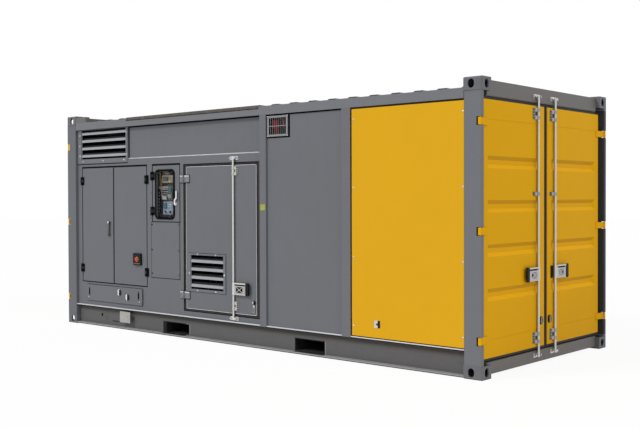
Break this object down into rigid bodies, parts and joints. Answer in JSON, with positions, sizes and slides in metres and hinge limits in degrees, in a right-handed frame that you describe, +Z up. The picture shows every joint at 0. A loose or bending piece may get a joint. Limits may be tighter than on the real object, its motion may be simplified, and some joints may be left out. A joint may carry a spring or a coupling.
{
  "type": "containerized diesel generator set",
  "caption": "Soundproof container housing of a diesel generator set, with end doors, locking bars, control window, louvred side door and forklift pockets.",
  "frame": {"origin": "middle of the container's footprint, on the ground", "axes": "+X along the length towards the near door end, -Y towards the control side, +Z up"},
  "size_m": [6.058, 2.438, 2.591],
  "materials": {
    "casting_grey": "grey paint over cast steel, satin",
    "frame_grey": "satin grey paint",
    "underframe_grey": "satin dark grey paint",
    "canopy_yellow": "satin yellow paint",
    "galvanised_steel": "bright zinc plate",
    "black_rubber": "matt black rubber",
    "hatch_brown": "weathered dark edge",
    "grille_grey": "light grey paint",
    "beacon_red": "red moulded lens",
    "box_grey": "dark powder coat",
    "panel_beige": "light powder coat",
    "black_metal": "black powder coat",
    "black_plastic": "textured black plastic",
    "stop_red": "red moulded plastic",
    "window_glass": "clear safety glass",
    "handle_chrome": "polished chrome"
  },
  "bodies": {
    "container": {"corner_castings": "casting_grey", "corner_posts": "frame_grey", "bottom_side_rails": "underframe_grey", "top_side_rails": "frame_grey", "end_rails": "frame_grey", "side_posts": "frame_grey", "underframe": "underframe_grey", "floor": "underframe_grey", "roof": "frame_grey", "roof_hatch": "hatch_brown", "side_panels": "frame_grey", "wall_uprights": "frame_grey", "wall_infills": "frame_grey", "yellow_side_panels": "canopy_yellow", "inlet_louvre": "frame_grey", "vent_grille": "grille_grey", "beacon": "beacon_red", "lower_covers": "frame_grey", "control_box": "box_grey", "control_panel": "panel_beige", "hinge_brackets": "black_metal", "bar_keepers": "galvanised_steel", "far_end_doors": "canopy_yellow", "far_end_bars": "galvanised_steel", "door_seals": "black_rubber"},
    "left_end_door": {"left_end_door": "canopy_yellow", "left_end_seal": "black_rubber", "left_bar_guides": "galvanised_steel"},
    "left_locking_bar": {"left_locking_bar": "galvanised_steel"},
    "right_end_door": {"right_end_door": "canopy_yellow", "right_end_seal": "black_rubber", "right_bar_guides": "galvanised_steel"},
    "right_locking_bar": {"right_locking_bar": "galvanised_steel"},
    "side_door": {"side_door": "frame_grey", "side_door_louvre": "frame_grey", "side_bar_guides": "galvanised_steel"},
    "side_locking_bar": {"side_locking_bar": "galvanised_steel"},
    "left_cubicle_door": {"left_cubicle_door": "frame_grey"},
    "cubicle_handle": {"cubicle_handle": "black_plastic"},
    "right_cubicle_door": {"right_cubicle_door": "frame_grey", "stop_box": "black_plastic"},
    "stop_button": {"stop_button": "stop_red"},
    "control_door": {"control_door": "frame_grey", "control_window": "window_glass"},
    "control_handle": {"control_handle": "handle_chrome"}
  },
  "joints": [
    {"name": "left_end_door_hinge", "type": "hinge", "parent": "container", "child": "left_end_door", "pos_m": [3.013, -1.206, 1.287], "axis": [0, 0, -1], "range_deg": [0, 250]},
    {"name": "right_end_door_hinge", "type": "hinge", "parent": "container", "child": "right_end_door", "pos_m": [3.013, 1.206, 1.287], "axis": [0, 0, 1], "range_deg": [0, 250]},
    {"name": "left_bar_turn", "type": "hinge", "parent": "left_end_door", "child": "left_locking_bar", "pos_m": [3.0035, -0.178, 1.287], "axis": [0, 0, 1], "range_deg": [0, 95]},
    {"name": "right_bar_turn", "type": "hinge", "parent": "right_end_door", "child": "right_locking_bar", "pos_m": [3.0035, 0.149, 1.287], "axis": [0, 0, -1], "range_deg": [0, 95]},
    {"name": "side_door_hinge", "type": "hinge", "parent": "container", "child": "side_door", "pos_m": [-0.826, -1.197, 1.132], "axis": [0, 0, -1], "range_deg": [0, 100]},
    {"name": "side_bar_turn", "type": "hinge", "parent": "side_door", "child": "side_locking_bar", "pos_m": [-0.022, -1.2015, 1.132], "axis": [0, 0, -1], "range_deg": [0, 95]},
    {"name": "left_cubicle_door_hinge", "type": "hinge", "parent": "container", "child": "left_cubicle_door", "pos_m": [-2.7525, -1.196, 1.247], "axis": [0, 0, -1], "range_deg": [0, 95]},
    {"name": "right_cubicle_door_hinge", "type": "hinge", "parent": "container", "child": "right_cubicle_door", "pos_m": [-1.4895, -1.196, 1.247], "axis": [0, 0, 1], "range_deg": [0, 90]},
    {"name": "control_door_hinge", "type": "hinge", "parent": "container", "child": "control_door", "pos_m": [-1.3815, -1.196, 1.626], "axis": [0, 0, -1], "range_deg": [0, 90]},
    {"name": "control_handle_turn", "type": "hinge", "parent": "control_door", "child": "control_handle", "pos_m": [-0.97, -1.185, 1.503], "axis": [0, -1, 0], "range_deg": [0, 90]},
    {"name": "cubicle_handle_lift", "type": "hinge", "parent": "left_cubicle_door", "child": "cubicle_handle", "pos_m": [-2.203, -1.199, 1.272], "axis": [-1, 0, 0], "range_deg": [0, 60]},
    {"name": "stop_button_press", "type": "slide", "parent": "right_cubicle_door", "child": "stop_button", "axis": [0, 1, 0], "range_m": [0, 0.004], "stiffness_N_per_m": 800, "springref_m": -0.001}
  ]
}
